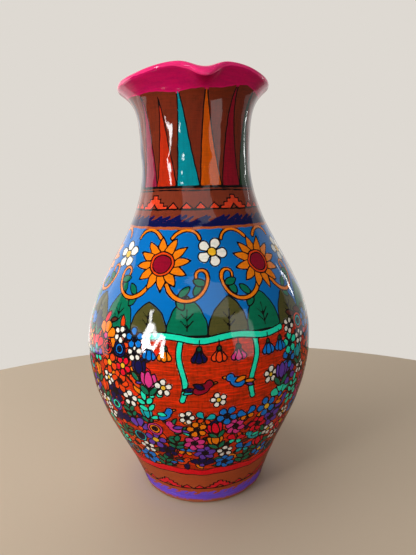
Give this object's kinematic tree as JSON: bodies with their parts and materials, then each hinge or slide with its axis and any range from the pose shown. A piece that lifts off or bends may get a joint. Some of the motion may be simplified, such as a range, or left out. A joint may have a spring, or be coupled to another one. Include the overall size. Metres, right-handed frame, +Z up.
{
  "type": "terracotta pitcher",
  "caption": "Tall hand-built terracotta pitcher with a round belly, narrow neck, flared mouth pulled into a pouring lip, and a strap handle; painted and varnished.",
  "frame": {"origin": "centre of the foot's flat underside", "axes": "+Z up through the neck, -Y towards the pouring lip, +Y towards the handle"},
  "size_m": [0.173, 0.1813, 0.3055],
  "materials": {
    "bare_terracotta": "satin",
    "red_field_paint": "gloss varnish over paint",
    "blue_shoulder_paint": "gloss varnish over paint",
    "brown_neck_paint": "gloss varnish over paint",
    "magenta_rim_paint": "gloss varnish over paint",
    "brown_handle_paint": "gloss varnish over paint"
  },
  "bodies": {
    "root": {"floor_slab": "bare_terracotta", "lower_body": "red_field_paint", "upper_body": "blue_shoulder_paint", "neck": "brown_neck_paint", "rim_and_pouring_lip": "magenta_rim_paint", "handle": "brown_handle_paint"}
  },
  "joints": []
}
